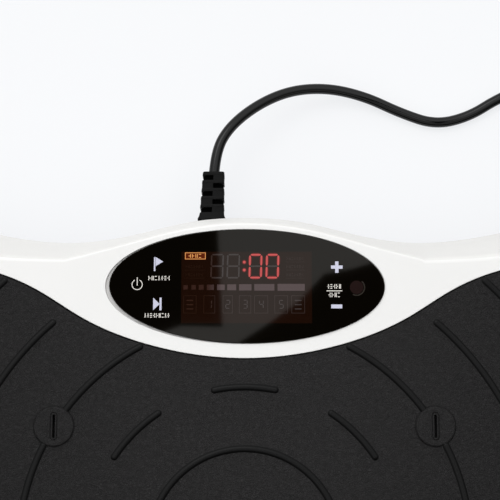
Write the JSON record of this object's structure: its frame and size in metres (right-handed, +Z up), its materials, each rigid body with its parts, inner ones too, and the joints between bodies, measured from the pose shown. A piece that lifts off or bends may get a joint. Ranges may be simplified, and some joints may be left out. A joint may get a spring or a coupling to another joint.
{
  "type": "vibration plate",
  "caption": "Oscillating vibration plate: white waisted platform with a black ringed mat and an oval touch console, rocking on a black base, with a mains lead.",
  "frame": {"origin": "on the floor under the middle of the plate, without the mains cord", "axes": "+X along the plate, +Y towards the console and the cord, +Z up"},
  "size_m": [0.6739, 0.4859, 0.13],
  "materials": {
    "white_shell": "gloss",
    "deck_mat": "fine leather grain",
    "lens_black": "mirror gloss",
    "base_plastic": "fine texture",
    "foam_seal": "matt",
    "circuit_board": "satin",
    "components": "satin",
    "led_module": "satin",
    "spring_steel": "satin",
    "zinc_fastener": "satin",
    "coated_steel": "powder coat",
    "bright_steel": "satin",
    "bearing_steel": "polished",
    "bronze": "satin",
    "black_rubber": "matt",
    "cast_alloy": "as cast",
    "motor_paint": "satin",
    "core_iron": "dull",
    "copper": "enamelled",
    "belt_rubber": "matt",
    "cord_pvc": "satin",
    "plug_brass": "bright"
  },
  "bodies": {
    "base": {"lower_shell": "base_plastic", "base_plate": "coated_steel", "rubber_feet": "black_rubber", "foot_fasteners": "zinc_fastener", "frame_bolts": "zinc_fastener", "pillow_blocks": "cast_alloy", "shaft_bearings": "bearing_steel", "pivot_brackets": "coated_steel", "pivot_pins": "bright_steel", "buffer_posts": "bright_steel", "rubber_buffers": "black_rubber", "motor_can": "motor_paint", "stator_core": "core_iron", "stator_windings": "copper", "motor_end_caps": "cast_alloy", "motor_bearings": "bearing_steel", "motor_cradle": "coated_steel", "drive_belt": "belt_rubber", "control_board": "circuit_board", "board_posts": "bronze", "heat_sink": "cast_alloy", "board_components": "components", "mains_lead": "cord_pvc", "motor_lead": "cord_pvc", "strain_relief": "cord_pvc", "cord": "cord_pvc", "cord_coil": "cord_pvc", "cord_tail": "cord_pvc", "plug_body": "cord_pvc", "plug_pins": "plug_brass"},
    "platform": {"upper_shell": "white_shell", "mat": "deck_mat", "console_lens": "lens_black", "console_gasket": "foam_seal", "display_board": "circuit_board", "display_module": "led_module", "infrared_receiver": "components", "touch_springs": "spring_steel", "board_screws": "zinc_fastener", "shell_screws": "zinc_fastener", "platform_plate": "coated_steel", "rod_brackets": "coated_steel", "rod_pins": "bright_steel", "pivot_lugs": "coated_steel", "pivot_bushes": "bronze", "display_lead": "cord_pvc"},
    "motor_rotor": {"motor_shaft": "bright_steel", "rotor_core": "core_iron", "motor_pulley": "cast_alloy"},
    "drive": {"drive_shaft": "bright_steel", "large_pulley": "cast_alloy", "left_eccentric": "bright_steel", "right_eccentric": "bright_steel"},
    "left_rod": {"left_rod": "cast_alloy", "left_rod_bearing": "bearing_steel", "left_rod_bush": "black_rubber"},
    "right_rod": {"right_rod": "cast_alloy", "right_rod_bearing": "bearing_steel", "right_rod_bush": "black_rubber"}
  },
  "joints": [
    {"name": "platform_rock", "type": "hinge", "parent": "base", "child": "platform", "pos_m": [0, 0, 0.084], "axis": [0, 1, 0], "range_deg": [-1.7, 1.7]},
    {"name": "drive_spin", "type": "hinge", "parent": "base", "child": "drive", "pos_m": [0, 0.012, 0.052], "axis": [1, 0, 0], "continuous": true},
    {"name": "motor_spin", "type": "hinge", "parent": "base", "child": "motor_rotor", "pos_m": [0, -0.062, 0.06], "axis": [1, 0, 0], "continuous": true},
    {"name": "left_rod_turn", "type": "hinge", "parent": "drive", "child": "left_rod", "pos_m": [-0.08, 0.0096, 0.052], "axis": [1, 0, 0], "continuous": true},
    {"name": "right_rod_turn", "type": "hinge", "parent": "drive", "child": "right_rod", "pos_m": [0.08, 0.0144, 0.052], "axis": [1, 0, 0], "continuous": true}
  ],
  "couplings": [
    {"joint": "motor_spin", "follows": "drive_spin", "ratio": 1.9206},
    {"joint": "left_rod_turn", "follows": "drive_spin", "ratio": -1},
    {"joint": "right_rod_turn", "follows": "drive_spin", "ratio": -1}
  ]
}
